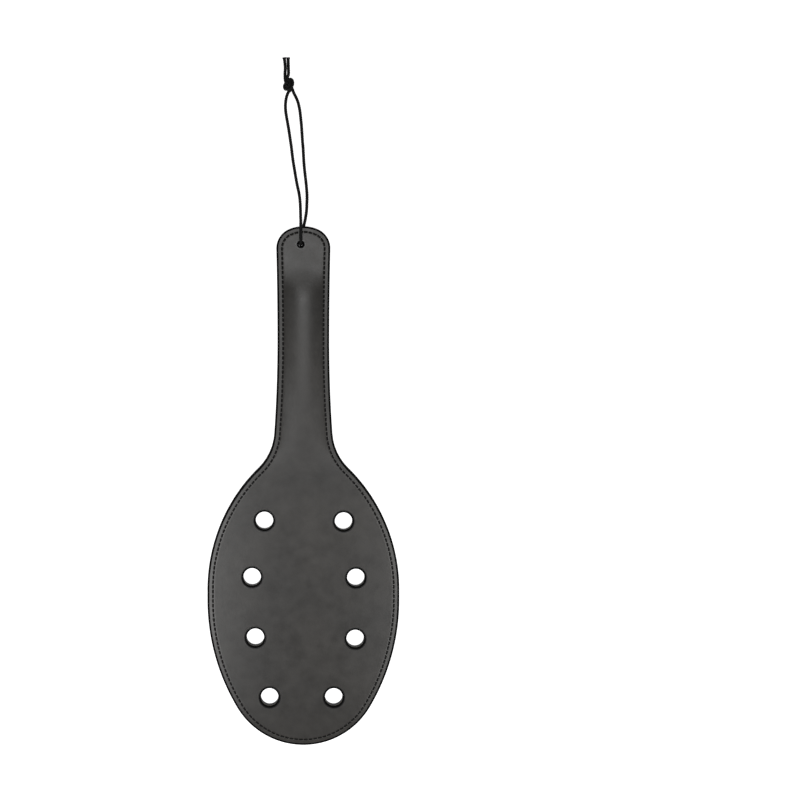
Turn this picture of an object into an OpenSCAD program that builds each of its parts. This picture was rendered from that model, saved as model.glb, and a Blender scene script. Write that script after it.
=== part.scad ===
// A leather hand paddle: two covers sewn over a stiff core, eight air holes,
// and a cord loop tied through the end of the handle.
// It lies on its back. X is across, +Y points to the cord end, Z is up from the surface.

/* [Paddle] */
// Length of the leather, from the handle's end to the head's end
paddle_l = 400; // [390:1:410]
// Width of the head at its widest
head_w = 148; // [144:1:152]
// Width of the handle at its narrowest
handle_w = 40; // [38:0.5:42]
// Thickness over the head and over the handle's crown
paddle_t = 9; // [9:0.1:10]
// Thickness of each leather cover
cover_t = 1.8; // [1.5:0.1:1.9]
// Thickness of the flat tab around the hang hole
tab_t = 4.1; // [4:0.1:4.1]
// Distance from the handle's edge to the foot of its crown
crown_in = 5.2; // [5:0.1:6]

/* [Holes] */
// Diameter of each air hole
air_hole_d = 13.5; // [12:0.5:15]
// Width of the worn rim around each air hole
air_hole_rim = 1.4; // [0.6:0.1:1.5]
// Diameter of the hang hole, which the cord nearly fills
hang_hole_d = 2.8; // [2.8:0.1:3.4]
// Diameter of the hang hole's worn mouth in each face
hang_mouth_d = 5.8; // [5.8:0.1:6.2]
// Distance from the handle's end to the hang hole's centre
hang_hole_in = 14; // [14:0.5:16]

/* [Seam] */
// Distance from the edge to the middle of the seam
seam_in = 4.4; // [4.2:0.1:4.4]
// Distance from one stitch to the next
stitch_pitch = 3.65; // [3.2:0.05:4.5]
// Length of thread that shows in each stitch
stitch_l = 2.8; // [2.2:0.1:2.9]
// Diameter of the sewing thread
thread_d = 0.8; // [0.6:0.05:0.85]

/* [Cord] */
// Diameter of the hanging cord
cord_d = 2.4; // [1.8:0.1:2.4]
// Size of the knot across the cord
knot_w = 8.6; // [7:0.1:10]
// Height of the knot above the surface
knot_h = 5.2; // [4:0.1:6]

/* [Hidden] */
$fn = 64;

mid_z = paddle_t / 2;
groove_w = 0.9;
overrun = 1;

// --- Outline: tangent arcs down the right side, from the handle's end to the head's end ---

top_y = paddle_l / 2;
end_r = 28;
corner_r = 16;
waist_y = 111.7;
upper_side_r = 2800;
lower_side_r = 1030;
neck_r = 42;
shoulder_r = 130;
shoulder_y = -80;
flank_r = 162;
flank_y = -88;
flank_drop = flank_y + top_y;
bottom_r = (pow(flank_r, 2) - pow(flank_r - head_w / 2, 2) - pow(flank_drop, 2))
    / (2 * (flank_r - flank_drop));

// Centre of a circle that lies at distances r1 and r2 from two others
function meet(c1, r1, c2, r2, side) =
    let (
        gap = norm(c2 - c1),
        along = (r1 * r1 - r2 * r2 + gap * gap) / (2 * gap),
        off = sqrt(r1 * r1 - along * along),
        u = (c2 - c1) / gap
    )
    c1 + along * u + side * off * [-u.y, u.x];
function heading(from, to) = atan2(to.y - from.y, to.x - from.x);

end_c = [0, top_y - end_r];
upper_side_c = [handle_w / 2 + upper_side_r, waist_y];
corner_c = meet(end_c, end_r - corner_r, upper_side_c, upper_side_r + corner_r, 1);
lower_side_c = [handle_w / 2 + lower_side_r, waist_y];
shoulder_c = [head_w / 2 - shoulder_r, shoulder_y];
neck_c = meet(lower_side_c, lower_side_r - neck_r, shoulder_c, shoulder_r + neck_r, -1);
flank_c = [head_w / 2 - flank_r, flank_y];
bottom_c = [0, bottom_r - top_y];

// Each arc: centre, radius, first angle, last angle, 1 if it bulges out or -1 if in, steps
ARCS = [
    [end_c, end_r, 90, heading(end_c, corner_c), 1, 3],
    [corner_c, corner_r, heading(end_c, corner_c), heading(corner_c, upper_side_c), 1, 6],
    [upper_side_c, upper_side_r, heading(upper_side_c, corner_c), 180, -1, 8],
    [lower_side_c, lower_side_r, 180, 360 + heading(lower_side_c, neck_c), -1, 7],
    [neck_c, neck_r, 360 + heading(lower_side_c, neck_c), 360 + heading(neck_c, shoulder_c), -1, 6],
    [shoulder_c, shoulder_r, heading(shoulder_c, neck_c), 0, 1, 9],
    [flank_c, flank_r, 0, heading(flank_c, bottom_c), 1, 6],
    [bottom_c, bottom_r, heading(flank_c, bottom_c), -90, 1, 8],
];

// Points down the right side at a distance inside the edge
function arc_points(arc, inset) =
    let (r = arc[1] - arc[4] * inset, steps = arc[5])
    [for (i = [0 : steps - 1])
        let (a = arc[2] + (arc[3] - arc[2]) * i / steps)
        arc[0] + r * [cos(a), sin(a)]];
function right_side(inset) = concat(
    [for (arc = ARCS) for (p = arc_points(arc, inset)) p],
    [[0, inset - top_y]]);
// The whole loop: down the right side and back up the left
function loop(inset) =
    let (side = right_side(inset), n = len(side))
    concat(side, [for (i = [n - 2 : -1 : 1]) [-side[i].x, side[i].y]]);

// --- Form: one half of the paddle, above its middle plane ---

// The handle's thinner margin takes over from the flat head between these
neck_low_y = 5;
neck_high_y = 60;
// The handle's crown starts inside the head and runs out into the flat tab
crown_start_y = -10;
crown_end_y = 150;
tab_y = 172;
tab_half = tab_t / 2;
// The crown stays just under the head's face
crown_top = mid_z - 0.1;
crown_rise = crown_top - tab_half;
crown_half_w = handle_w / 2 - crown_in;
crown_r = (pow(crown_half_w, 2) + pow(crown_rise, 2)) / (2 * crown_rise);

// A shape drawn in Y and Z, extended to both sides of the middle
module across(points, half_w = head_w) {
    translate([-half_w, 0, 0]) rotate([90, 0, 90])
        linear_extrude(2 * half_w) polygon(points);
}

// Limits height: full up to high_y, then a slope that meets the tab's height at low_y
// and runs on down to the middle plane
module slope_limit(start_y, high_y, low_y, skin, half_w = head_w) {
    foot_y = high_y + (low_y - high_y) * (mid_z - skin) / (mid_z - tab_half);
    across([
        [start_y, 0], [start_y, mid_z + overrun], [high_y, mid_z + overrun],
        [high_y, mid_z - skin], [foot_y, 0]], half_w);
}

// One half of the form, a skin's thickness inside the leather's face.
// A grown form reaches past the edge, to cut with.
module half_form(skin, grow = 0) {
    linear_extrude(tab_half - skin) polygon(loop(-grow));
    intersection() {
        linear_extrude(mid_z - skin) polygon(loop(-grow));
        slope_limit(-paddle_l, neck_low_y, neck_high_y, skin);
    }
    intersection() {
        slope_limit(crown_start_y, crown_end_y, tab_y, skin, crown_half_w + overrun);
        translate([0, 0, crown_top - crown_r]) rotate([90, 0, 0])
            cylinder(h = 2 * paddle_l, r = crown_r - skin, center = true, $fn = 96);
    }
}

// --- Holes ---

// Punched by eye, so the two columns aren't quite alike
AIR_HOLES = [
    [-30, -27], [-39.5, -70.5], [-37, -117], [-26, -163],
    [31, -27.5], [40.5, -71], [40, -118], [23.5, -163]];
// The hang hole is a little off the middle
hang_hole_x = -2;
hang_hole_y = top_y - hang_hole_in;

module at_air_holes() {
    for (hole = AIR_HOLES) translate([hole.x, hole.y, 0]) children();
}

module air_holes() {
    at_air_holes() cylinder(h = 2 * paddle_t, d = air_hole_d, center = true);
}

module rims() {
    at_air_holes()
        translate([0, 0, mid_z - air_hole_rim])
            cylinder(h = 2 * air_hole_rim, d1 = air_hole_d, d2 = air_hole_d + 4 * air_hole_rim);
}

module hang_hole() {
    translate([hang_hole_x, hang_hole_y, 0])
        cylinder(h = 2 * paddle_t, d = hang_hole_d, center = true);
}

module hang_mouth() {
    mouth_h = (hang_mouth_d - hang_hole_d) / 2;
    translate([hang_hole_x, hang_hole_y, tab_half - mouth_h])
        cylinder(h = 2 * mouth_h, d1 = hang_hole_d, d2 = 2 * hang_mouth_d - hang_hole_d);
}

// --- Covers and core ---

module seam_groove() {
    difference() {
        linear_extrude(paddle_t)
            difference() {
                polygon(loop(seam_in - groove_w / 2));
                polygon(loop(seam_in + groove_w / 2));
            }
        half_form(thread_d);
    }
}

// The front cover, standing on the middle plane
module cover() {
    difference() {
        half_form(0);
        half_form(cover_t, overrun);
        seam_groove();
        air_holes();
        rims();
        hang_hole();
        hang_mouth();
    }
}

module front_cover() {
    color("#454443") translate([0, 0, mid_z]) cover();
}

module back_cover() {
    color("#403f3e") translate([0, 0, mid_z]) mirror([0, 0, 1]) cover();
}

// The head's board and the handle's core butt together here
core_joint_y = 30;

module core_part(from_y, to_y) {
    translate([0, 0, mid_z])
        for (side = [0, 1])
            mirror([0, 0, side])
                intersection() {
                    half_form(cover_t);
                    across([
                        [from_y, -overrun], [from_y, paddle_t],
                        [to_y, paddle_t], [to_y, -overrun]]);
                }
}

module head_board() {
    color("#9a7b55")
        difference() {
            core_part(-paddle_l, core_joint_y);
            translate([0, 0, mid_z]) air_holes();
        }
}

module handle_core() {
    color("#8a6c48")
        difference() {
            core_part(core_joint_y, paddle_l);
            translate([0, 0, mid_z]) hang_hole();
        }
}

// --- Stitches: short lengths of thread in the seam's groove ---

seam_side = right_side(seam_in);
seam_sums = [for (i = 0, s = 0; i < len(seam_side);
    s = s + (i + 1 < len(seam_side) ? norm(seam_side[i + 1] - seam_side[i]) : 0), i = i + 1) s];
seam_side_l = seam_sums[len(seam_sums) - 1];
stitch_count = round(seam_side_l / stitch_pitch);
stitch_group = 16;

// Point on the seam at a distance along it, with the seam's heading there
function on_seam(s) =
    let (
        i = max([for (k = [0 : len(seam_sums) - 2]) if (seam_sums[k] <= s) k]),
        from = seam_side[i],
        to = seam_side[i + 1],
        p = from + (to - from) * (s - seam_sums[i]) / norm(to - from)
    )
    [p.x, p.y, heading(from, to)];

module stitch(s) {
    at = on_seam(s);
    slope = max(0, min(1, (at.y - neck_low_y) / (neck_high_y - neck_low_y)));
    translate([at.x, at.y, mid_z - slope * (mid_z - tab_half) - thread_d / 2])
        rotate([0, 0, at[2]]) rotate([0, 90, 0])
        cylinder(h = stitch_l, d = thread_d, center = true, $fn = 16);
}

module side_stitches() {
    for (g = [0 : stitch_group : stitch_count - 1])
        union()
            for (i = [g : min(g + stitch_group, stitch_count) - 1])
                stitch((i + 0.5) * seam_side_l / stitch_count);
}

module stitches() {
    side_stitches();
    mirror([1, 0, 0]) side_stitches();
}

module front_stitches() {
    color("#0c0c0c") translate([0, 0, mid_z]) stitches();
}

module back_stitches() {
    color("#0c0c0c") translate([0, 0, mid_z]) mirror([0, 0, 1]) stitches();
}

// --- Cord: its route, and a tube swept along it ---

cord_r = cord_d / 2;
tab_gap = 0.05;
front_z = mid_z + tab_t / 2 + tab_gap + cord_r;
back_z = mid_z - tab_t / 2 - tab_gap - cord_r;
turn_r = (front_z - back_z) / 2;
turn_y = hang_hole_y + turn_r;
// The bight ends here and the free loop starts here, which leaves room to lift
bight_y = 204.4;
loop_y = 207;

function turn_point(a) = [hang_hole_x, turn_y - turn_r * sin(a), mid_z + turn_r * cos(a)];
BIGHT = concat(
    [[-2, bight_y, front_z], [-2, 199, front_z], [-2, 193.5, front_z]],
    [for (a = [0 : 22.5 : 180]) turn_point(a)],
    [[-1.5, 193.5, back_z], [0, 199, back_z], [1.3, bight_y, back_z]]);
FRONT_LEG = [
    [-2.1, loop_y, front_z], [-2.2, 212, 7.4], [-2.4, 217, 6], [-2.8, 222, 4.2], [-3.6, 227, 2.6],
    [-4.7, 232, 1.5], [-5.8, 238, cord_r], [-6.8, 244, cord_r], [-7.8, 250, cord_r],
    [-8.6, 256, cord_r], [-9.3, 262, cord_r], [-10.2, 268, cord_r], [-11.1, 274, cord_r],
    [-12.1, 280, cord_r], [-13, 285, cord_r], [-13.7, 290, cord_r], [-13.8, 295, cord_r],
    [-13.1, 300, 1.4], [-11.6, 304, 1.9], [-10.6, 306, 2.2]];
BACK_LEG = [
    [1.8, loop_y, back_z], [2.5, 212, cord_r], [2.8, 218, cord_r], [2.9, 224, cord_r],
    [2.5, 230, cord_r], [1.9, 236, cord_r], [1.2, 242, cord_r], [0.6, 248, cord_r],
    [0.2, 254, cord_r], [-0.1, 260, cord_r], [-0.6, 266, cord_r], [-1, 272, cord_r],
    [-1.4, 278, cord_r], [-2, 284, cord_r], [-2.7, 290, cord_r], [-4, 296, cord_r],
    [-5.6, 300, 1.4], [-7.4, 303.5, 1.9], [-8.5, 305.5, 2.2]];
TAILS = [
    [[-14.2, 313.5, 2], [-14.2, 318, 1.4], [-14, 323, cord_r], [-14.4, 328, cord_r],
     [-14.8, 331, cord_r]],
    [[-11.4, 313.5, 2], [-11.5, 318, 1.4], [-11.5, 323, cord_r], [-11.7, 328, cord_r],
     [-11.7, 331, cord_r]]];
KNOT_ENDS = [[-12.6, 311.2], [-10.3, 308.2]];

cord_sides = 8;
function unit(v) = v / norm(v);
function route_heading(route, i) =
    unit(route[min(i + 1, len(route) - 1)] - route[max(i - 1, 0)]);
// A ring of the tube, square to the route and turned about X so that it never twists
function cord_ring(centre, along) =
    let (across = [1, 0, 0] - along.x * along, x = unit(across), y = cross(along, x))
    [for (k = [0 : cord_sides - 1])
        let (a = 360 * (k + 0.5) / cord_sides)
        centre + cord_r * (cos(a) * x + sin(a) * y)];

module cord(route) {
    last = len(route) - 1;
    rings = [for (i = [0 : last]) cord_ring(route[i], route_heading(route, i))];
    walls = [
        for (k = [0 : last - 1]) for (i = [0 : cord_sides - 1])
            let (
                a = k * cord_sides + i,
                b = k * cord_sides + (i + 1) % cord_sides,
                c = b + cord_sides,
                d = a + cord_sides
            )
            for (f = [[a, d, c], [a, c, b]]) f];
    polyhedron(
        points = [for (ring = rings) for (p = ring) p],
        faces = concat(
            walls,
            [[for (i = [0 : cord_sides - 1]) i]],
            [[for (i = [cord_sides - 1 : -1 : 0]) last * cord_sides + i]]),
        convexity = 4);
}

module cord_bight() {
    color("#101010") cord(BIGHT);
}

module cord_front_leg() {
    color("#101010") cord(FRONT_LEG);
}

module cord_back_leg() {
    color("#101010") cord(BACK_LEG);
}

module cord_knot() {
    color("#161616")
        hull()
            for (p = KNOT_ENDS)
                translate([p.x, p.y, 0]) {
                    translate([0, 0, knot_h * 0.3])
                        cylinder(h = knot_h * 0.4, d = knot_w * 0.66, $fn = 24);
                    cylinder(h = knot_h, d = knot_w * 0.4, $fn = 24);
                }
}

module cord_tails() {
    color("#101010")
        for (tail = TAILS) cord(tail);
}

front_cover();
back_cover();
head_board();
handle_core();
front_stitches();
back_stitches();
cord_bight();
cord_front_leg();
cord_back_leg();
cord_knot();
cord_tails();
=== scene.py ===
"""Looks for the leather paddle: sewn covers, seam thread, hanging cord, stage, lights and camera."""
from math import atan2, cos, hypot, pi, radians, sin, sqrt

import bpy
import numpy as np
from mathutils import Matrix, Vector, noise
from mathutils.geometry import delaunay_2d_cdt


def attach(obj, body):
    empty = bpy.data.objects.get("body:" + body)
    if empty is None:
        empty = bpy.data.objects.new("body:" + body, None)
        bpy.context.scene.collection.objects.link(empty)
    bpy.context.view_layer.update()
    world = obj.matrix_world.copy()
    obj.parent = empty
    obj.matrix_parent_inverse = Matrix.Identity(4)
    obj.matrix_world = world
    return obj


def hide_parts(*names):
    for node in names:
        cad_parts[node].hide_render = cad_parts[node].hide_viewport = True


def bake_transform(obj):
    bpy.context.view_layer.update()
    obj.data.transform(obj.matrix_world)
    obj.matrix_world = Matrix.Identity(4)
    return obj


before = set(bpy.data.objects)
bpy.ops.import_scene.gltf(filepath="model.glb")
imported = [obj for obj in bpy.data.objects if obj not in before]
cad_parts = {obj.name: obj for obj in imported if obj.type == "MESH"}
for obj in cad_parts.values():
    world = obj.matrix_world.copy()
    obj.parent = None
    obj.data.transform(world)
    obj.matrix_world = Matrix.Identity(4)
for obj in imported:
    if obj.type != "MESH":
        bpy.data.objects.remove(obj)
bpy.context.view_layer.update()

MM = 0.001

# --- Driving sizes, in millimetres, the same as the CAD model's ---

PADDLE_L, HEAD_W, HANDLE_W, PADDLE_T = 400, 148, 40, 9
COVER_T, TAB_T, CROWN_IN = 1.8, 4.1, 5.2
AIR_R, HANG_R, HANG_IN, HANG_X = 6.75, 1.4, 14, -2
SEAM_IN, STITCH_PITCH, STITCH_L, THREAD_D = 4.4, 3.65, 2.8, 0.8
CORD_D = 2.4
AIR_HOLES = [(-30, -27), (-39.5, -70.5), (-37, -117), (-26, -163),
             (31, -27.5), (40.5, -71), (40, -118), (23.5, -163)]
MID, TAB_HALF, TOP_Y = PADDLE_T / 2, TAB_T / 2, PADDLE_L / 2
HANG_Y = TOP_Y - HANG_IN
NECK_LOW_Y, NECK_HIGH_Y = 5, 60
CROWN_START_Y, CROWN_END_Y, TAB_Y = -10, 150, 172
CROWN_TOP = MID - 0.1
CROWN_HALF_W = HANDLE_W / 2 - CROWN_IN
CROWN_RISE = CROWN_TOP - TAB_HALF
CROWN_R = (CROWN_HALF_W ** 2 + CROWN_RISE ** 2) / (2 * CROWN_RISE)

# --- Camera: straight down, a little off the centre of what it frames ---

CAMERA_ABOVE = 1100
FRAME_W = 616
CAMERA_FOOT = (-10, 143)
FRAME_CENTRE = (74.4, 66.0)


def make_camera():
    data = bpy.data.cameras.new("camera")
    data.sensor_width = 36
    data.lens = data.sensor_width * CAMERA_ABOVE / FRAME_W
    data.shift_x = (FRAME_CENTRE[0] - CAMERA_FOOT[0]) / FRAME_W
    data.shift_y = (FRAME_CENTRE[1] - CAMERA_FOOT[1]) / FRAME_W
    data.clip_start, data.clip_end = 0.05, 20
    camera = bpy.data.objects.new("camera", data)
    camera.location = (CAMERA_FOOT[0] * MM, CAMERA_FOOT[1] * MM, (PADDLE_T + CAMERA_ABOVE) * MM)
    bpy.context.scene.collection.objects.link(camera)
    bpy.context.scene.camera = camera
    bpy.context.scene.view_settings.view_transform = "Standard"


# --- Small helpers ---


def ease(t):
    """Smooth step from 0 to 1."""
    t = np.clip(t, 0, 1)
    return t * t * (3 - 2 * t)


def make_object(name, points_mm, faces, materials):
    mesh = bpy.data.meshes.new(name)
    mesh.from_pydata((np.asarray(points_mm) * MM).tolist(), [], faces)
    mesh.update()
    mesh.shade_smooth()
    for material in materials:
        mesh.materials.append(material)
    piece = bpy.data.objects.new(name, mesh)
    bpy.context.scene.collection.objects.link(piece)
    return piece


def point_attribute(piece, name, values):
    attribute = piece.data.attributes.new(name, "FLOAT", "POINT")
    attribute.data.foreach_set("value", np.asarray(values, np.float32))


# --- Materials ---


class Nodes:
    """A material's node tree, with short calls to add and join nodes."""

    def __init__(self, name):
        self.material = bpy.data.materials.new(name)
        self.material.use_nodes = True
        self.tree = self.material.node_tree
        self.shader = self.tree.nodes["Principled BSDF"]

    def add(self, kind, **settings):
        node = self.tree.nodes.new(kind)
        for key, value in settings.items():
            if key in node.inputs:
                node.inputs[key].default_value = value
            else:
                setattr(node, key, value)
        return node

    def join(self, out, into):
        self.tree.links.new(out, into)

    def mix(self, factor, a, b):
        node = self.add("ShaderNodeMix", data_type="RGBA")
        for value, socket in ((factor, node.inputs[0]), (a, node.inputs[6]), (b, node.inputs[7])):
            if isinstance(value, bpy.types.NodeSocket):
                self.join(value, socket)
            else:
                socket.default_value = value
        return node.outputs[2]

    def maths(self, operation, a, b=0.0, c=0.0, clamp=False):
        node = self.add("ShaderNodeMath", operation=operation, use_clamp=clamp)
        for value, socket in zip((a, b, c), node.inputs):
            if isinstance(value, bpy.types.NodeSocket):
                self.join(value, socket)
            else:
                socket.default_value = value
        return node.outputs[0]

    def noise(self, place, scale, detail=4.0, rough=0.55):
        node = self.add("ShaderNodeTexNoise", Scale=scale, Detail=detail, Roughness=rough)
        self.join(place, node.inputs["Vector"])
        return node.outputs["Fac"]

    def bump(self, height, distance, strength=1.0, after=None):
        node = self.add("ShaderNodeBump", Distance=distance, Strength=strength)
        self.join(height, node.inputs["Height"])
        if after is not None:
            self.join(after, node.inputs["Normal"])
        return node.outputs["Normal"]

    def place(self):
        return self.add("ShaderNodeTexCoord").outputs["Object"]


def grey(value, warmth=0.0):
    """A grey, with a little more red and less blue as warmth grows."""
    return (value * (1 + warmth), value, value * (1 - 1.2 * warmth), 1)


# Detail of each material, as noise scales: repeats to the metre
CLOUD, MOTTLE, WRINKLE, GRAIN_WARP, GRAIN_CELLS, PORES = 16, 95, 210, 260, 1250, 2600
RAGGED, PAINT_FIBRES, BOARD_FIBRES, BOARD_CHIPS = 900, 1100, 1400, 320
THREAD_FIBRES, THREAD_WEAR, FLOOR_CLOUD = 3200, 240, 3
# Heights of the relief, in metres
WRINKLE_H, GRAIN_H, GRAIN_WARP_BY = 0.00012, 0.000018, 0.0012
PAINT_H, BOARD_H, THREAD_H = 0.00008, 0.0001, 0.00006
# Leather's tone: darkest and palest share of its shade, each with its warmth; then the mottle's
TONE_DARK, TONE_PALE = (0.5, 0.02), (1.5, 0.10)
MOTTLE_DARK, MOTTLE_PALE, MOTTLE_SHARE = 0.5, 1.5, 0.8
# Grain: how sharp its creases are, and how much of it is creases and pores
CREASE_SHARP, CREASE_SHARE, PORE_SHARE = 2.4, 0.6, 0.4
# Border of the paint: how ragged and how sharp it is, and where it lies
RAGGED_BY, BORDER_SHARP, BORDER_AT = 0.5, 4.0, -1.5
LEATHER_ROUGH, LEATHER_ROUGH_MOTTLE, PAINTED_SMOOTHER = 0.24, 0.16, -0.06
PAINT_BLACK, BOARD_PAINT_BLACK = 0.0045, 0.005
PAINT_GLOSS = 0.04


def leather_material(name, shade):
    """Dark pull-up leather, with black paint where the edge_paint attribute says so."""
    m = Nodes(name)
    place = m.place()
    # Colour: a broad cloudy tone times a finer mottle
    cloud = m.noise(place, CLOUD, 3, 0.5)
    mottle = m.noise(place, MOTTLE, 5, 0.62)
    dark, pale = (grey(shade * share, warmth) for share, warmth in (TONE_DARK, TONE_PALE))
    tone = m.mix(cloud, dark, pale)
    fine = m.mix(mottle, grey(MOTTLE_DARK), grey(MOTTLE_PALE))
    product = m.add("ShaderNodeMix", data_type="RGBA", blend_type="MULTIPLY")
    product.inputs[0].default_value = MOTTLE_SHARE
    m.join(tone, product.inputs[6])
    m.join(fine, product.inputs[7])
    # Grain: small rounded cells with creases between them, over soft wrinkles
    warp = m.add("ShaderNodeTexNoise", Scale=GRAIN_WARP, Detail=2.0)
    m.join(place, warp.inputs["Vector"])
    bent = m.add("ShaderNodeVectorMath", operation="MULTIPLY_ADD")
    m.join(warp.outputs["Color"], bent.inputs[0])
    bent.inputs[1].default_value = (GRAIN_WARP_BY,) * 3
    m.join(place, bent.inputs[2])
    cells = m.add("ShaderNodeTexVoronoi", feature="DISTANCE_TO_EDGE", Scale=GRAIN_CELLS)
    m.join(bent.outputs[0], cells.inputs["Vector"])
    crease = m.maths("MULTIPLY", cells.outputs["Distance"], CREASE_SHARP, clamp=True)
    pores = m.noise(place, PORES, 3, 0.6)
    wrinkle = m.noise(place, WRINKLE, 5, 0.6)
    grain = m.maths("ADD", m.maths("MULTIPLY", crease, CREASE_SHARE), m.maths("MULTIPLY", pores, PORE_SHARE))
    soft = m.bump(wrinkle, WRINKLE_H, 0.5)
    normal = m.bump(grain, GRAIN_H, 0.6, soft)
    # Painted edge: the attribute runs from 1 at the edge to 0 on the face, with a ragged border
    edge = m.add("ShaderNodeAttribute", attribute_name="edge_paint").outputs["Fac"]
    jitter = m.maths("MULTIPLY", m.maths("SUBTRACT", m.noise(place, RAGGED, 3), 0.5), RAGGED_BY)
    ragged = m.maths("ADD", edge, jitter)
    paint = m.maths("MULTIPLY_ADD", ragged, BORDER_SHARP, BORDER_AT, clamp=True)
    m.join(m.mix(paint, product.outputs[2], grey(PAINT_BLACK)), m.shader.inputs["Base Color"])
    rough = m.maths("MULTIPLY_ADD", mottle, LEATHER_ROUGH_MOTTLE, LEATHER_ROUGH)
    m.join(m.maths("MULTIPLY_ADD", paint, PAINTED_SMOOTHER, rough), m.shader.inputs["Roughness"])
    m.join(normal, m.shader.inputs["Normal"])
    m.shader.inputs["Specular IOR Level"].default_value = 0.5
    m.shader.inputs["IOR"].default_value = 1.5
    return m.material


def edge_paint_material(name):
    """Thick matt black paint on the cut edges and the holes' walls; round each stitch it is painted shade of
    the seam groove, partly the thread's wax stain.
    """
    m = Nodes(name)
    place = m.place()
    fibres = m.noise(place, PAINT_FIBRES, 5, 0.7)
    m.join(m.mix(fibres, grey(0.002), grey(0.006)), m.shader.inputs["Base Color"])
    m.join(m.maths("MULTIPLY_ADD", fibres, 0.2, 0.7), m.shader.inputs["Roughness"])
    m.join(m.bump(fibres, PAINT_H, 0.6), m.shader.inputs["Normal"])
    m.shader.inputs["Specular IOR Level"].default_value = PAINT_GLOSS
    return m.material


def painted_board_material(name, raw):
    """Bonded leather board; its outer walls are painted black, like the covers' edges.
    raw is the shade of its faces."""
    m = Nodes(name)
    place = m.place()
    fibres = m.noise(place, BOARD_FIBRES, 6, 0.7)
    chips = m.noise(place, BOARD_CHIPS, 4, 0.6)
    body = m.mix(chips, grey(raw * 0.8, 0.25), grey(raw * 1.1, 0.3))
    geometry = m.add("ShaderNodeNewGeometry")
    split = m.add("ShaderNodeSeparateXYZ")
    m.join(geometry.outputs["Normal"], split.inputs[0])
    wall = m.maths("LESS_THAN", m.maths("ABSOLUTE", split.outputs["Z"]), 0.5)
    m.join(m.mix(wall, body, grey(BOARD_PAINT_BLACK)), m.shader.inputs["Base Color"])
    m.join(m.maths("MULTIPLY_ADD", fibres, 0.25, 0.35), m.shader.inputs["Roughness"])
    m.join(m.bump(fibres, BOARD_H, 0.6), m.shader.inputs["Normal"])
    m.shader.inputs["Specular IOR Level"].default_value = PAINT_GLOSS
    return m.material


def thread_material(name, shade, rough, gloss, fuzz):
    """Black twisted thread or cord: waxed fibres, with pale fuzz on the ridges."""
    m = Nodes(name)
    place = m.place()
    fibres = m.noise(place, THREAD_FIBRES, 4, 0.7)
    wear = m.noise(place, THREAD_WEAR, 4, 0.6)
    m.join(m.mix(m.maths("MULTIPLY", wear, fibres), grey(shade * 0.5), grey(shade * 2.4)),
           m.shader.inputs["Base Color"])
    m.join(m.maths("MULTIPLY_ADD", fibres, 0.3, rough), m.shader.inputs["Roughness"])
    m.join(m.bump(fibres, THREAD_H, 0.8), m.shader.inputs["Normal"])
    m.shader.inputs["Specular IOR Level"].default_value = gloss
    m.shader.inputs["Sheen Weight"].default_value = fuzz
    m.shader.inputs["Sheen Roughness"].default_value = 0.5
    return m.material


FLOOR_GLOW = 0.9


def floor_material():
    """White paper, lit from below so that it stays white between the lights."""
    m = Nodes("floor")
    place = m.place()
    tone = m.noise(place, FLOOR_CLOUD, 2, 0.5)
    m.join(m.mix(tone, grey(0.80), grey(0.82)), m.shader.inputs["Base Color"])
    m.shader.inputs["Roughness"].default_value = 0.9
    m.shader.inputs["Specular IOR Level"].default_value = 0.0
    m.shader.inputs["Emission Color"].default_value = (1, 1, 1, 1)
    m.shader.inputs["Emission Strength"].default_value = FLOOR_GLOW
    return m.material


# --- Outline: the same tangent arcs as the CAD model ---


def heading(start, end):
    return atan2(end[1] - start[1], end[0] - start[0])


def meet(c1, r1, c2, r2, side):
    """Centre of a circle that lies at distances r1 and r2 from two others."""
    dx, dy = c2[0] - c1[0], c2[1] - c1[1]
    gap = hypot(dx, dy)
    along = (r1 * r1 - r2 * r2 + gap * gap) / (2 * gap)
    off = side * sqrt(r1 * r1 - along * along)
    ux, uy = dx / gap, dy / gap
    return (c1[0] + along * ux - off * uy, c1[1] + along * uy + off * ux)


def outline_segments():
    """Down the right side: (start, end, centre, radius, first angle, last angle, bulge)."""
    end_r, corner_r, upper_r, lower_r = 28, 16, 2800, 1030
    neck_r, shoulder_r, flank_r = 42, 130, 162
    waist_y, shoulder_y, flank_y = 111.7, -80, -88
    half = HEAD_W / 2
    drop = flank_y + TOP_Y
    bottom_r = (flank_r ** 2 - (flank_r - half) ** 2 - drop ** 2) / (2 * (flank_r - drop))
    end_c = (0, TOP_Y - end_r)
    upper_c = (HANDLE_W / 2 + upper_r, waist_y)
    corner_c = meet(end_c, end_r - corner_r, upper_c, upper_r + corner_r, 1)
    lower_c = (HANDLE_W / 2 + lower_r, waist_y)
    shoulder_c = (half - shoulder_r, shoulder_y)
    neck_c = meet(lower_c, lower_r - neck_r, shoulder_c, shoulder_r + neck_r, -1)
    flank_c = (half - flank_r, flank_y)
    bottom_c = (0, bottom_r - TOP_Y)
    turn = 2 * pi
    return [
        (end_c, end_r, pi / 2, heading(end_c, corner_c), 1),
        (corner_c, corner_r, heading(end_c, corner_c), heading(corner_c, upper_c), 1),
        (upper_c, upper_r, heading(upper_c, corner_c), pi, -1),
        (lower_c, lower_r, pi, turn + heading(lower_c, neck_c), -1),
        (neck_c, neck_r, turn + heading(lower_c, neck_c), turn + heading(neck_c, shoulder_c), -1),
        (shoulder_c, shoulder_r, heading(shoulder_c, neck_c), 0, 1),
        (flank_c, flank_r, 0, heading(flank_c, bottom_c), 1),
        (bottom_c, bottom_r, heading(flank_c, bottom_c), -pi / 2, 1),
    ]


FINE_STEP = 0.2


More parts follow.
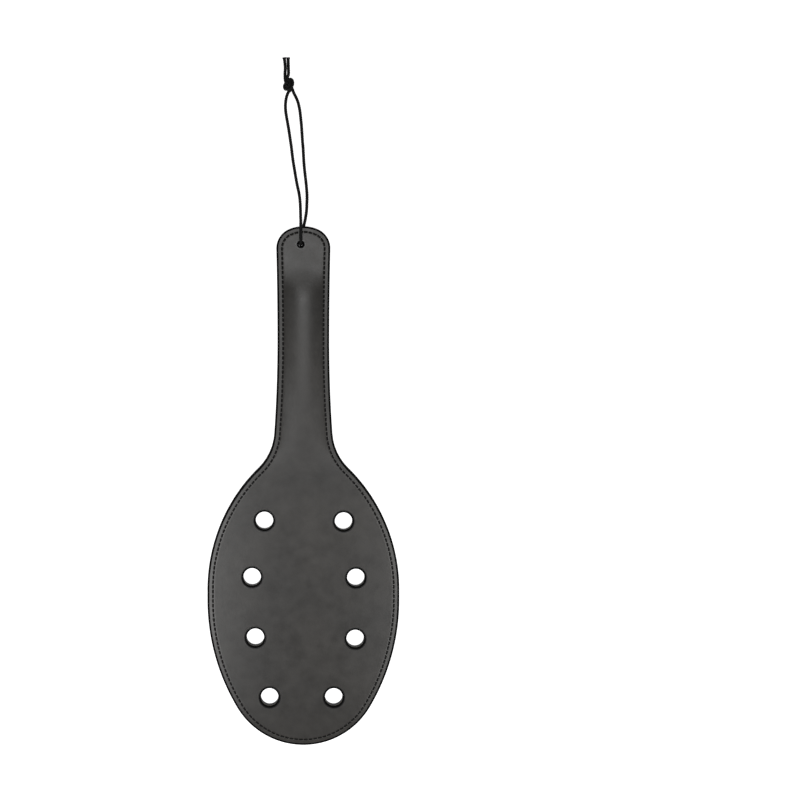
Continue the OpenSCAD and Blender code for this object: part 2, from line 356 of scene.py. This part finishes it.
def fine_side():
    """Closely spaced edge points and outward normals down the right side."""
    points, normals = [], []
    for centre, radius, first, last, bulge in outline_segments():
        steps = max(8, int(abs(last - first) * radius / FINE_STEP))
        angles = first + (last - first) * np.arange(steps + 1) / steps
        unit = np.stack([np.cos(angles), np.sin(angles)], 1)
        points.append(np.array(centre) + radius * unit)
        normals.append(bulge * unit)
    return np.concatenate(points), np.concatenate(normals)


# Points of the edge to each stitch
SUBS = 16


def outline_loop():
    """Edge points and normals all the way round, SUBS to each stitch, starting half a stitch
    from the middle of the handle's end."""
    points, normals = fine_side()
    seam = points - SEAM_IN * normals
    run = np.concatenate([[0], np.cumsum(np.hypot(*np.diff(seam, axis=0).T))])
    stitches = round(run[-1] / STITCH_PITCH)
    at = run[-1] * np.arange(stitches * SUBS + 1) / (stitches * SUBS)
    side_p = np.stack([np.interp(at, run, points[:, k]) for k in (0, 1)], 1)
    side_n = np.stack([np.interp(at, run, normals[:, k]) for k in (0, 1)], 1)
    side_n /= np.hypot(*side_n.T)[:, None]
    flip = np.array([-1, 1])
    return (np.concatenate([side_p, (side_p * flip)[-2:0:-1]]),
            np.concatenate([side_n, (side_n * flip)[-2:0:-1]]))


EDGE, NORMAL = outline_loop()
LOOP_N = len(EDGE)


def inset_ring(inset, step=1):
    return (EDGE - inset * NORMAL)[::step]


# --- Height of the leather ---


def half_width(y):
    """Half the paddle's width at a height."""
    side = EDGE[: LOOP_N // 2 + 1]
    return np.interp(-y, -side[:, 1], side[:, 0])


def edge_distance(points):
    """Distance inside the edge, for points in the plane, worked out a block at a time."""
    out = np.empty(len(points))
    block = 2000
    for k in range(0, len(points), block):
        gap = points[k:k + block, None, :] - EDGE[None, ::4, :]
        out[k:k + block] = np.sqrt((gap ** 2).sum(2)).min(1)
    return out


def cad_half(points, skin):
    """The CAD form's height above the middle plane, a skin's thickness inside its face:
    the highest of the tab, the head with its slope to the tab, and the handle's crown."""
    x, y = points[:, 0], points[:, 1]
    slope = (MID - TAB_HALF) / (NECK_HIGH_Y - NECK_LOW_Y)
    head = MID - skin - slope * np.clip(y - NECK_LOW_Y, 0, None)
    run_out = MID - skin - (MID - TAB_HALF) / (TAB_Y - CROWN_END_Y) * np.clip(y - CROWN_END_Y, 0, None)
    radius = CROWN_R - skin
    dome = CROWN_TOP - CROWN_R + np.sqrt(np.clip(radius ** 2 - x ** 2, 0, None))
    crown = np.where((y > CROWN_START_Y) & (abs(x) < CROWN_HALF_W + 1), np.minimum(dome, run_out), 0)
    return np.maximum(np.maximum(TAB_HALF - skin, head), crown)


# Slack: the face sinks towards the edge, from SLACK_IN inside the seam and over SLACK_RUN
SLACK_IN, SLACK_RUN, HEAD_SLACK, HANDLE_SLACK = 1.6, 5.5, 0.36, 0.12
# Crown: how far its foot is inside the seam, how full it is, and where it starts to run out
CROWN_FOOT_IN, CROWN_FULLNESS, CROWN_TOP_IN, CROWN_EASE = 0.5, 2.1, 0.03, 9
# Seam groove: its half width and depth, and the distance from a gap where a stitch presses it in
GROOVE_W, GROOVE_D, PRESS_AT, PRESS_RUN = 0.44, 0.34, 0.44, 0.2
# Needle holes: distance from the gap's middle, radius and depth
NEEDLE_AT, DIMPLE_R, DIMPLE_D = 0.66, 0.22, 0.25
# Painted groove shade round each stitch, partly wax stain: half width, and distance from the gap's middle
WAX_AND_SHADE_HALF_W, WAX_AND_SHADE_FROM = 0.62, 0.42
# Rounded, painted edge: radius, width of the paint, how far in from there it is solid, and its fade
EDGE_ROUND, PAINT_W, PAINT_SOLID_IN, PAINT_FADE = 1.0, 1.35, 0.1, 0.35
# Holes' worn rims: their widths, and the width of their paint
AIR_RIM, HANG_RIM, RIM_PAINT_W = 1.35, 1.75, 1.75


def face_half(points, inset, seam_phase=None):
    """Height of the leather's face above the middle plane.
    seam_phase is the distance along the seam to the nearest gap between stitches, where known."""
    x, y = points[:, 0], points[:, 1]
    slack = ease((SEAM_IN + SLACK_IN - inset) / SLACK_RUN)
    head = MID - HEAD_SLACK * slack
    foot = SEAM_IN + CROWN_FOOT_IN
    across = np.clip((inset - foot) / (half_width(y) - foot), 0, 1)
    run_out = CROWN_END_Y - CROWN_EASE
    crown = (1 - (1 - across) ** CROWN_FULLNESS) * (1 - ease((y - run_out) / (TAB_Y - run_out)))
    handle = TAB_HALF - HANDLE_SLACK * slack + (MID - CROWN_TOP_IN - TAB_HALF) * crown
    height = head + (handle - head) * ease((y - NECK_LOW_Y) / (NECK_HIGH_Y - NECK_LOW_Y))
    groove = GROOVE_D * np.exp(-((inset - SEAM_IN) / GROOVE_W) ** 2)
    if seam_phase is None:
        return height - groove
    # The groove is pressed in by each stitch; the leather stands up between two stitches
    height -= groove * ease((seam_phase - PRESS_AT) / PRESS_RUN)
    reach = ((inset - SEAM_IN) ** 2 + (seam_phase - NEEDLE_AT) ** 2) / DIMPLE_R ** 2
    return height - DIMPLE_D * np.exp(-reach)


# Unevenness of the leather: height and size of each kind of wave, and its run-in from the edge
WAVES = [(0.055, 38, 0), (0.02, 9, 7)]
WAVE_RUN_IN = 3


def waves(points, seed):
    """Slow unevenness of the leather, never above its face."""
    return np.array([
        sum(height * (0.5 + 0.5 * noise.noise(Vector((x / size, y / size, seed + shift))))
            for height, size, shift in WAVES)
        for x, y in points])


# --- Flat layouts: rings from the edge, rings round the holes, and a filled middle ---


def bridge(outer, inner, faces):
    """Joins two rings of indices with faces; the inner may have half as many."""
    n = len(inner)
    if len(outer) == n:
        for i in range(n):
            j = (i + 1) % n
            faces.append((outer[i], inner[i], inner[j], outer[j]))
        return
    for i in range(n):
        j = (i + 1) % n
        a0, a1, a2 = outer[2 * i], outer[2 * i + 1], outer[(2 * i + 2) % len(outer)]
        faces += [(a0, inner[i], a1), (a1, inner[i], inner[j]), (a1, inner[j], a2)]


HOLES = [(x, y, AIR_R) for x, y in AIR_HOLES] + [(HANG_X, HANG_Y, HANG_R)]
HOLE_SIDES = 72
# Stand-ins for "not on a ring of the edge", "not near a hole" and "not near the seam"
NO_INSET, NO_RIM, NO_PHASE = -1.0, 99.0, 9.0


class Layout:
    """Points in the plane, faces, and the loops along the edge and the holes."""

    def __init__(self, insets, hole_grows, spacing):
        self.points, self.inset, self.rim, self.phase, self.faces = [], [], [], [], []
        previous = None
        for inset, ring_step in insets:
            ring = inset_ring(inset, ring_step)
            index = self.extend(ring, inset=inset, phase=self.phases(ring_step))
            if previous is None:
                self.edge_loop = index
            else:
                bridge(previous, index, self.faces)
            previous = index
        self.hole_loops = []
        outers = []
        for x, y, radius in HOLES:
            angles = 2 * pi * np.arange(HOLE_SIDES) / HOLE_SIDES
            unit = np.stack([np.cos(angles), np.sin(angles)], 1)
            last = None
            for grow in hole_grows:
                ring = np.array([x, y]) + (radius + grow) * unit
                # The hang hole's mouth is wider than the air holes' rims
                index = self.extend(ring, rim=grow if radius > HANG_R else grow * AIR_RIM / HANG_RIM)
                if last is None:
                    self.hole_loops.append(index)
                else:
                    bridge(index, last, self.faces)
                last, last_grow = index, grow
            outers.append((x, y, radius + last_grow, last))
        self.fill(previous, insets[-1][0], outers, spacing)
        self.points = np.array(self.points)

    def phases(self, step):
        """Distance along the seam to the nearest gap between stitches, for each point of a ring."""
        place = (np.arange(0, LOOP_N, step) % SUBS) / SUBS * STITCH_PITCH
        return np.minimum(place, STITCH_PITCH - place)

    def extend(self, ring, inset=NO_INSET, rim=NO_RIM, phase=None):
        base = len(self.points)
        n = len(ring)
        self.points += [tuple(p) for p in ring]
        self.inset += [inset] * n
        self.rim += [rim] * n
        self.phase += list(phase) if phase is not None else [NO_PHASE] * n
        return list(range(base, base + n))

    def fill(self, ring, inset, outers, spacing):
        """Fills the space between the last ring and the holes with even triangles."""
        row_gap = spacing * 0.866
        xs = np.arange(-HEAD_W / 2, HEAD_W / 2 + spacing, spacing)
        ys = np.arange(-TOP_Y, TOP_Y, row_gap)
        grid = np.array([(x + (j % 2) * spacing / 2, y) for j, y in enumerate(ys) for x in xs])
        grid = grid[abs(grid[:, 0]) < half_width(grid[:, 1]) - inset]
        # Points too close to a ring would make slivers
        grid = grid[edge_distance(grid) > inset + 0.55 * spacing]
        for x, y, radius, _ in outers:
            grid = grid[np.hypot(grid[:, 0] - x, grid[:, 1] - y) > radius + 0.5 * spacing]
        inner = self.extend(grid)
        loops = [ring] + [loop for *_, loop in outers]
        used = [i for loop in loops for i in loop] + inner
        local = {i: k for k, i in enumerate(used)}
        edges = [(local[loop[k]], local[loop[(k + 1) % len(loop)]]) for loop in loops
                 for k in range(len(loop))]
        flat = [Vector(self.points[i]) for i in used]
        _, _, triangles, origins, _, _ = delaunay_2d_cdt(flat, edges, [], 1, 1e-7)
        back = [used[o[0]] for o in origins]
        # Triangles inside a hole are left out
        for triangle in triangles:
            corners = [back[k] for k in triangle]
            cx = sum(self.points[i][0] for i in corners) / 3
            cy = sum(self.points[i][1] for i in corners) / 3
            if all(hypot(cx - x, cy - y) > radius * 0.999 for x, y, radius, _ in outers):
                self.faces.append(tuple(corners))


def orient(points, faces, up):
    """Turns every face to look up or down."""
    out = []
    for face in faces:
        a, b, c = (points[i] for i in face[:3])
        turn = (b[0] - a[0]) * (c[1] - a[1]) - (b[1] - a[1]) * (c[0] - a[0])
        out.append(tuple(face) if (turn > 0) == up else tuple(reversed(face)))
    return out


# Rings in from the edge: (distance, every how many edge points); then rings out from each hole
FACE_INSETS = [(0, 1), (0.08, 1), (0.3, 1), (0.62, 1), (0.9, 1), (1.2, 1), (1.6, 1), (2.3, 1), (3.0, 1),
               (3.4, 1), (3.8, 1), (4.1, 1), (4.4, 1), (4.7, 1), (5.0, 1), (5.4, 1), (5.9, 1),
               (6.6, 2), (7.6, 2), (8.6, 4)]
FACE_GROWS = [0, 0.06, 0.22, 0.46, 0.75, 1.05, 1.35, 1.7, 2.2, 3.0]
LINING_INSETS = [(0, 1), (0.2, 1), (2.0, 2), (5.0, 4), (8.6, 4)]
LINING_GROWS = [0, 0.2, 1.6]
LINING_ROUND = 0.2


def rounding(reach, radius):
    """Drop of a rounded edge, at a distance in from it."""
    t = np.clip(1 - np.asarray(reach) / radius, 0, 1)
    return radius * (1 - np.sqrt(np.clip(1 - t * t, 0, 1)))


def make_cover(name, side, seed, material, edge_paint, face, lining):
    """side is 1 for the front cover and -1 for the back one."""
    inset = np.array(face.inset)
    loose = inset < 0
    inset[loose] = edge_distance(face.points[loose])
    height = face_half(face.points, inset, np.array(face.phase))
    height -= waves(face.points, seed) * ease(inset / WAVE_RUN_IN)
    rim = np.array(face.rim)
    height -= rounding(inset, EDGE_ROUND) + rounding(rim, AIR_RIM)
    under = cad_half(lining.points, COVER_T)
    under_inset = np.where(np.array(lining.inset) < 0, NO_RIM, np.array(lining.inset))
    under = under + rounding(np.minimum(under_inset, lining.rim), LINING_ROUND)
    count = len(face.points)
    points = np.concatenate([
        np.column_stack([face.points, MID + side * height]),
        np.column_stack([lining.points, MID + side * under])])
    up = side > 0
    faces = orient(face.points, face.faces, up)
    faces += [tuple(i + count for i in f) for f in orient(lining.points, lining.faces, not up)]
    first_wall = len(faces)
    for top, low in zip([face.edge_loop] + face.hole_loops, [lining.edge_loop] + lining.hole_loops):
        n = len(top)
        # The edge's loop runs clockwise and the holes' run anticlockwise, so both walls face out
        for i in range(n):
            j = (i + 1) % n
            wall = (top[i], top[j], low[j] + count, low[i] + count)
            faces.append(wall if up else wall[::-1])
    piece = make_object(name, points, faces, [material, edge_paint])
    reach = np.minimum(inset, rim * PAINT_W / RIM_PAINT_W)
    # Painted black round each stitch: painted shade of the seam groove, partly the thread's wax stain
    seam_wax_and_shade = np.zeros(len(points), bool)
    by_seam = ~loose & (abs(inset - SEAM_IN) < WAX_AND_SHADE_HALF_W)
    seam_wax_and_shade[:count] = by_seam & (np.array(face.phase) > WAX_AND_SHADE_FROM)
    for polygon in piece.data.polygons:
        painted = polygon.index >= first_wall
        painted = painted or reach[polygon.vertices[0] % count] < PAINT_W - PAINT_SOLID_IN
        # Faces round each stitch take the black paint: painted groove shade, partly wax stain
        painted = painted or seam_wax_and_shade[list(polygon.vertices)].all()
        polygon.material_index = int(painted)
    paint = 1 - np.clip((reach - PAINT_W) / PAINT_FADE, 0, 1)
    paint = np.concatenate([paint, np.ones(len(lining.points))])
    point_attribute(piece, "edge_paint", paint)
    return piece


# --- Sewing thread and cord: tubes swept along a path, with twisted strands ---

STRANDS = 3


def sweep(path, radii, sides, twist, depth, up=(0, 0, 1)):
    """Points and faces of a closed tube of twisted strands, which wind round it once every twist mm.
    depth is the depth of the valleys between them, as a share of the radius."""
    path = np.asarray(path, float)
    along = np.gradient(path, axis=0)
    along /= np.linalg.norm(along, axis=1)[:, None]
    run = np.concatenate([[0], np.cumsum(np.linalg.norm(np.diff(path, axis=0), axis=1))])
    frame_x = np.cross(up, along[0])
    frame_x /= np.linalg.norm(frame_x)
    angles = 2 * pi * np.arange(sides) / sides
    points, faces = [], []
    for k, (centre, direction) in enumerate(zip(path, along)):
        frame_x = frame_x - direction * frame_x.dot(direction)
        frame_x /= np.linalg.norm(frame_x)
        frame_y = np.cross(direction, frame_x)
        ridge = np.abs(np.sin(STRANDS / 2 * (angles - 2 * pi * run[k] / twist)))
        size = radii[k] * (1 - depth + depth * ridge)
        points += list(centre + size[:, None] * (np.cos(angles)[:, None] * frame_x
                                                 + np.sin(angles)[:, None] * frame_y))
    n = len(path)
    for k in range(n - 1):
        for i in range(sides):
            j = (i + 1) % sides
            faces.append((k * sides + i, k * sides + j, (k + 1) * sides + j, (k + 1) * sides + i))
    first, last = len(points), len(points) + 1
    points += [path[0], path[-1]]
    for i in range(sides):
        j = (i + 1) % sides
        faces.append((first, j, i))
        faces.append((last, (n - 1) * sides + i, (n - 1) * sides + j))
    return points, faces


STITCH_STEPS = 11
STITCH_SIDES = 10
# Each stitch lies a little aslant, and wobbles by an amount drawn from slow noise
STITCH_SLANT, STITCH_WOBBLE, WOBBLE_STEP = 0.13, 0.05, 1.7
# The thread dives this deep, keeps level until close to the needle holes, and stands this proud
NEEDLE_DEEP, LEVEL_POWER, PROUD = 0.75, 8, 0.02
STITCH_HALF = 0.48 * STITCH_L
THREAD_TWIST, THREAD_VALLEY = 1.8, 0.2


def make_stitches(name, side, material):
    """One thread to a face: each stitch rises from a needle hole, lies in the groove and dives."""
    seam = inset_ring(SEAM_IN)
    points, faces = [], []
    centres = np.arange(SUBS // 2, LOOP_N, SUBS)
    t = np.linspace(-1, 1, STITCH_STEPS)
    rise = (1 - np.abs(t) ** LEVEL_POWER) * NEEDLE_DEEP
    radii = np.full(STITCH_STEPS, THREAD_D / 2)
    for number, k in enumerate(centres):
        a, b = seam[k - SUBS // 2], seam[(k + SUBS // 2) % LOOP_N]
        along = (b - a) / np.hypot(*(b - a))
        across = np.array([-along[1], along[0]])
        middle = (a + b) / 2
        level = face_half(middle[None, :], np.array([SEAM_IN]))[0] + PROUD
        slant = STITCH_SLANT * side * t
        wobble = STITCH_WOBBLE * noise.noise(Vector((number * WOBBLE_STEP, side, 3)))
        flat = middle + np.outer(t * STITCH_HALF, along) + np.outer(slant + wobble, across)
        height = level - NEEDLE_DEEP + rise
        path = np.column_stack([flat, MID + side * height])
        new, quads = sweep(path, radii, STITCH_SIDES, THREAD_TWIST, THREAD_VALLEY)
        base = len(points)
        points += new
        faces += [tuple(i + base for i in f) for f in quads]
    return make_object(name, points, faces, [material])


# --- Cord ---

CORD_R = CORD_D / 2
TAB_GAP = 0.05
FRONT_Z = MID + TAB_HALF + TAB_GAP + CORD_R
BACK_Z = MID - TAB_HALF - TAB_GAP - CORD_R
TURN_R = (FRONT_Z - BACK_Z) / 2
TURN_Y = HANG_Y + TURN_R

FRONT_ROUTE = [
    (-2, 193.5, FRONT_Z), (-2, 199, FRONT_Z), (-2, 204.4, FRONT_Z),
    (-2.1, 207, FRONT_Z), (-2.2, 212, 7.4), (-2.4, 217, 6), (-2.8, 222, 4.2), (-3.6, 227, 2.6),
    (-4.7, 232, 1.5), (-5.8, 238, CORD_R), (-6.8, 244, CORD_R), (-7.8, 250, CORD_R),
    (-8.6, 256, CORD_R), (-9.3, 262, CORD_R), (-10.2, 268, CORD_R), (-11.1, 274, CORD_R),
    (-12.1, 280, CORD_R), (-13, 285, CORD_R), (-13.7, 290, CORD_R), (-13.8, 295, CORD_R),
    (-13.1, 300, 1.4), (-11.6, 304, 1.9)]
BACK_ROUTE = [
    (-1.5, 193.5, BACK_Z), (0, 199, BACK_Z), (1.3, 204.4, BACK_Z),
    (1.8, 207, BACK_Z), (2.5, 212, CORD_R), (2.8, 218, CORD_R), (2.9, 224, CORD_R),
    (2.5, 230, CORD_R), (1.9, 236, CORD_R), (1.2, 242, CORD_R), (0.6, 248, CORD_R),
    (0.2, 254, CORD_R), (-0.1, 260, CORD_R), (-0.6, 266, CORD_R), (-1, 272, CORD_R),
    (-1.4, 278, CORD_R), (-2, 284, CORD_R), (-2.7, 290, CORD_R), (-4, 296, CORD_R),
    (-5.6, 300, 1.4), (-7.4, 303.5, 1.9)]
FRONT_TAIL = [(-14.2, 318, 1.4), (-14, 323, CORD_R), (-14.4, 328, CORD_R), (-14.8, 331, CORD_R)]
BACK_TAIL = [(-11.5, 318, 1.4), (-11.5, 323, CORD_R), (-11.7, 328, CORD_R), (-11.7, 331, CORD_R)]

# Overhand knot tied in both legs together: across, along, and up from its middle
KNOT_CENTRE = (-11.4, 309.8, 2.65)
KNOT_TURN = radians(30)
KNOT_SIZE = (2.05, 1.8, 1.4)
# Each leg's distance from the knot's middle line
KNOT_SPREAD = 0.95
KNOT = [(0.0, -2.2, -0.35), (-0.35, -1.0, -0.55), (-0.35, 0.6, -0.6), (0.25, 1.5, -0.1),
        (1.45, 1.0, 0.6), (1.1, -0.4, 1.0), (-0.3, -1.25, 0.85), (-1.5, -0.7, 0.1),
        (-1.15, 0.25, -0.85), (0.1, 0.55, -1.0), (1.0, 0.35, -0.35), (0.55, 1.0, 0.55),
        (0.0, 2.1, 0.5)]


def knot_points(offset):
    """Points of one leg through the knot, at a sideways offset from its middle line."""
    c, s = cos(KNOT_TURN), sin(KNOT_TURN)
    knots = np.array(KNOT) * KNOT_SIZE
    along = np.gradient(knots, axis=0)
    along /= np.linalg.norm(along, axis=1)[:, None]
    side = np.cross(along, (0, 0, 1))
    side /= np.linalg.norm(side, axis=1)[:, None]
    strand = knots + offset * side
    x, y, z = strand.T
    turned = np.stack([x * c - y * s, x * s + y * c, z], 1) + KNOT_CENTRE
    turned[:, 2] = np.clip(turned[:, 2], CORD_R, None)
    return [tuple(p) for p in turned]


CURVE_STEPS = 20


def smooth_path(points, spacing):
    """Even steps along a Catmull-Rom curve through the points."""
    p = np.asarray(points, float)
    p = np.concatenate([[2 * p[0] - p[1]], p, [2 * p[-1] - p[-2]]])
    out = []
    for k in range(1, len(p) - 2):
        for u in np.linspace(0, 1, CURVE_STEPS, endpoint=False):
            out.append(0.5 * (2 * p[k] + (p[k + 1] - p[k - 1]) * u
                              + (2 * p[k - 1] - 5 * p[k] + 4 * p[k + 1] - p[k + 2]) * u ** 2
                              + (3 * p[k] - p[k - 1] - 3 * p[k + 1] + p[k + 2]) * u ** 3))
    out.append(p[-2])
    out = np.array(out)
    run = np.concatenate([[0], np.cumsum(np.linalg.norm(np.diff(out, axis=0), axis=1))])
    at = np.linspace(0, run[-1], int(run[-1] / spacing) + 1)
    return np.stack([np.interp(at, run, out[:, k]) for k in range(3)], 1), run[-1]


CORD_STEP, CORD_SIDES, CORD_TWIST, CORD_VALLEY = 0.35, 20, 5.5, 0.14
# The strands' ridges stand a little outside the cord's nominal size
CORD_RIDGE = 1.07
# It frays at the tip, and fills the hang hole
TIP_L, TIP_FLARE = 2.2, 0.38
FILL_L, FILL_FADE, FILL_SWELL = 1.9, 1.2, 0.09


def make_cord(name, side, route, tail, material):
    """Half the cord: from the middle of the hang hole, along its leg, through the knot to its tip."""
    turn = [(HANG_X, TURN_Y - TURN_R * cos(radians(a)), MID + side * TURN_R * sin(radians(a)))
            for a in (0, 22.5, 45, 67.5, 90)]
    points = turn + route + knot_points(-KNOT_SPREAD * side) + tail
    path, length = smooth_path(points, CORD_STEP)
    run = np.linspace(0, length, len(path))
    tip = np.clip((run - (length - TIP_L)) / TIP_L, 0, 1)
    fill = np.clip((FILL_L - run) / FILL_FADE, 0, 1)
    radii = CORD_R * (CORD_RIDGE + TIP_FLARE * tip ** 2 + FILL_SWELL * fill)
    new, faces = sweep(path, radii, CORD_SIDES, CORD_TWIST, CORD_VALLEY, up=(1, 0, 0))
    new = np.array(new)
    new[:, 2] = np.clip(new[:, 2], 0.0, None)
    piece = make_object(name, new, faces, [material])
    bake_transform(piece)
    return piece


# --- Stage ---


# The floor lies just under the paddle, so that the two don't share a plane
FLOOR_SIZE, FLOOR_Z = 40, -0.0002


def make_stage():
    bpy.ops.mesh.primitive_plane_add(size=FLOOR_SIZE, location=(0, 0, FLOOR_Z))
    floor = bpy.context.object
    floor.name = "floor"
    floor.data.materials.append(floor_material())


WORLD_LIGHT = 0.17


def softbox(name, place, size, power):
    """A rectangular light that faces straight down."""
    data = bpy.data.lights.new(name, "AREA")
    data.shape = "RECTANGLE"
    data.size, data.size_y = size
    data.energy = power
    light = bpy.data.objects.new(name, data)
    light.location = place
    bpy.context.scene.collection.objects.link(light)


def make_lights():
    softbox("left_softbox", (-0.235, -0.18, 0.50), (0.24, 0.34), 1.38)
    softbox("right_softbox", (0.26, -0.19, 0.50), (0.24, 0.34), 1.05)
    softbox("north_softbox", (0.0, 0.29, 1.30), (0.24, 0.20), 1.2)
    softbox("overhead_softbox", (0.0, 0.06, 1.30), (0.52, 0.24), 0.9)
    world = bpy.data.worlds.new("world")
    world.use_nodes = True
    background = world.node_tree.nodes["Background"]
    background.inputs["Color"].default_value = (1, 1, 1, 1)
    background.inputs["Strength"].default_value = WORLD_LIGHT
    bpy.context.scene.world = world


def repaint(node, material):
    """Gives a CAD node that stays visible its material."""
    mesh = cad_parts[node].data
    mesh.materials.clear()
    mesh.materials.append(material)


# Sizes of the covers' triangles away from their edges, on the face and underneath
FACE_SPACING, LINING_SPACING = 2.2, 4.0


def main():
    make_camera()
    cord = thread_material("cord_black", shade=0.004, rough=0.5, gloss=0.2, fuzz=0.03)
    front_cord = make_cord("cord_front", 1, FRONT_ROUTE, FRONT_TAIL, cord)
    back_cord = make_cord("cord_back", -1, BACK_ROUTE, BACK_TAIL, cord)
    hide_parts("cord_bight", "cord_front_leg", "cord_knot")
    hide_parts("cord_back_leg", "cord_tails")
    face = Layout(FACE_INSETS, FACE_GROWS, FACE_SPACING)
    lining = Layout(LINING_INSETS, LINING_GROWS, LINING_SPACING)
    paint = edge_paint_material("edge_paint")
    thread = thread_material("thread_black", shade=0.004, rough=0.45, gloss=0.25, fuzz=0.02)
    board = painted_board_material("board", raw=0.25)
    for name, side, seed, shade in (("front", 1, 1.0, 0.030), ("back", -1, 5.0, 0.028)):
        leather = leather_material(name + "_leather", shade)
        cover = make_cover(name + "_leather_cover", side, seed, leather, paint, face, lining)
        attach(cover, "paddle")
        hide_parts(name + "_cover")
        seam = make_stitches(name + "_seam_thread", side, thread)
        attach(seam, "paddle")
        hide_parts(name + "_stitches")
    repaint("head_board", board)
    repaint("handle_core", board)
    make_stage()
    make_lights()


main()
